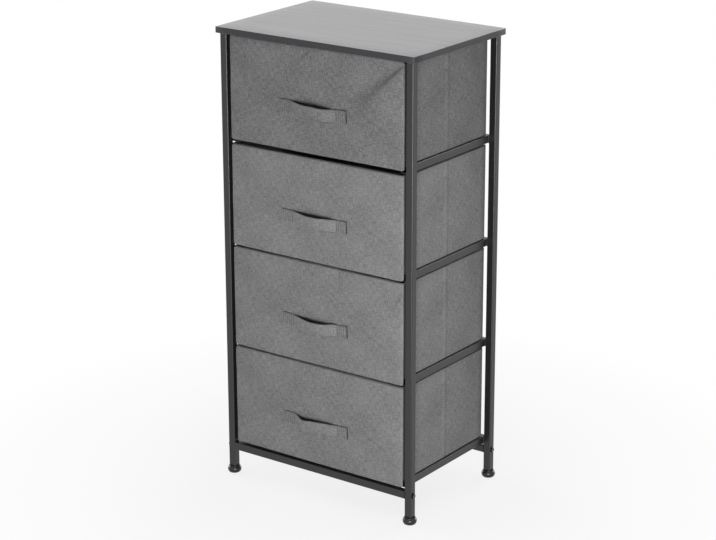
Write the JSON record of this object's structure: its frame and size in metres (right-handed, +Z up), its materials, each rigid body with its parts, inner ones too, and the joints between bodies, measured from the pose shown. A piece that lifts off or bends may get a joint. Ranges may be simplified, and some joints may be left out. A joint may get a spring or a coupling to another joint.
{
  "type": "fabric drawer dresser",
  "caption": "Narrow upright dresser: square steel tube frame, laminated top board, soft fabric drawers with strap handles on tube rails, screw-in levelling feet.",
  "frame": {"origin": "on the floor, at the middle of the overall width and depth", "axes": "+X to the right as seen from the front, the drawers face -Y, +Z up"},
  "size_m": [0.45, 0.3056, 0.9],
  "materials": {
    "board_laminate": "dark wood-grain laminate on fibreboard, satin with a soft sheen",
    "black_steel": "semi-gloss black powder coat",
    "plain_steel": "zinc-plated steel",
    "black_plastic": "moulded black plastic, satin",
    "grey_fabric": "charcoal grey non-woven fabric with a fine linen-look weave print",
    "lining_fabric": "plain dark grey non-woven lining",
    "stiff_board": "plain fibreboard, hidden inside the fabric"
  },
  "bodies": {
    "frame": {"top_board": "board_laminate", "post_front_left": "black_steel", "post_front_right": "black_steel", "post_rear_left": "black_steel", "post_rear_right": "black_steel", "rail_left_1": "black_steel", "rail_left_2": "black_steel", "rail_left_3": "black_steel", "rail_left_4": "black_steel", "rail_right_1": "black_steel", "rail_right_2": "black_steel", "rail_right_3": "black_steel", "rail_right_4": "black_steel", "crossbar_front": "black_steel", "crossbar_rear": "black_steel", "top_strip_left": "black_steel", "top_strip_right": "black_steel", "crossbar_screws": "black_steel", "crossbar_inserts": "plain_steel", "board_screws": "plain_steel", "post_plugs": "black_plastic"},
    "drawer_1": {"drawer_1_cover": "grey_fabric", "drawer_1_lining": "lining_fabric", "drawer_1_front_board": "stiff_board", "drawer_1_side_boards": "stiff_board", "drawer_1_back_board": "stiff_board", "drawer_1_bottom_board": "stiff_board", "drawer_1_handle": "grey_fabric"},
    "drawer_2": {"drawer_2_cover": "grey_fabric", "drawer_2_lining": "lining_fabric", "drawer_2_front_board": "stiff_board", "drawer_2_side_boards": "stiff_board", "drawer_2_back_board": "stiff_board", "drawer_2_bottom_board": "stiff_board", "drawer_2_handle": "grey_fabric"},
    "drawer_3": {"drawer_3_cover": "grey_fabric", "drawer_3_lining": "lining_fabric", "drawer_3_front_board": "stiff_board", "drawer_3_side_boards": "stiff_board", "drawer_3_back_board": "stiff_board", "drawer_3_bottom_board": "stiff_board", "drawer_3_handle": "grey_fabric"},
    "drawer_4": {"drawer_4_cover": "grey_fabric", "drawer_4_lining": "lining_fabric", "drawer_4_front_board": "stiff_board", "drawer_4_side_boards": "stiff_board", "drawer_4_back_board": "stiff_board", "drawer_4_bottom_board": "stiff_board", "drawer_4_handle": "grey_fabric"},
    "front_left_foot": {"foot_front_left": "black_plastic", "stud_front_left": "plain_steel"},
    "front_right_foot": {"foot_front_right": "black_plastic", "stud_front_right": "plain_steel"},
    "rear_left_foot": {"foot_rear_left": "black_plastic", "stud_rear_left": "plain_steel"},
    "rear_right_foot": {"foot_rear_right": "black_plastic", "stud_rear_right": "plain_steel"}
  },
  "joints": [
    {"name": "drawer_1_slide", "type": "slide", "parent": "frame", "child": "drawer_1", "axis": [0, -1, 0], "range_m": [0, 0.21]},
    {"name": "drawer_2_slide", "type": "slide", "parent": "frame", "child": "drawer_2", "axis": [0, -1, 0], "range_m": [0, 0.21]},
    {"name": "drawer_3_slide", "type": "slide", "parent": "frame", "child": "drawer_3", "axis": [0, -1, 0], "range_m": [0, 0.21]},
    {"name": "drawer_4_slide", "type": "slide", "parent": "frame", "child": "drawer_4", "axis": [0, -1, 0], "range_m": [0, 0.21]},
    {"name": "front_left_foot_screw", "type": "slide", "parent": "frame", "child": "front_left_foot", "axis": [0, 0, -1], "range_m": [0, 0.008]},
    {"name": "front_right_foot_screw", "type": "slide", "parent": "frame", "child": "front_right_foot", "axis": [0, 0, -1], "range_m": [0, 0.008]},
    {"name": "rear_left_foot_screw", "type": "slide", "parent": "frame", "child": "rear_left_foot", "axis": [0, 0, -1], "range_m": [0, 0.008]},
    {"name": "rear_right_foot_screw", "type": "slide", "parent": "frame", "child": "rear_right_foot", "axis": [0, 0, -1], "range_m": [0, 0.008]}
  ]
}
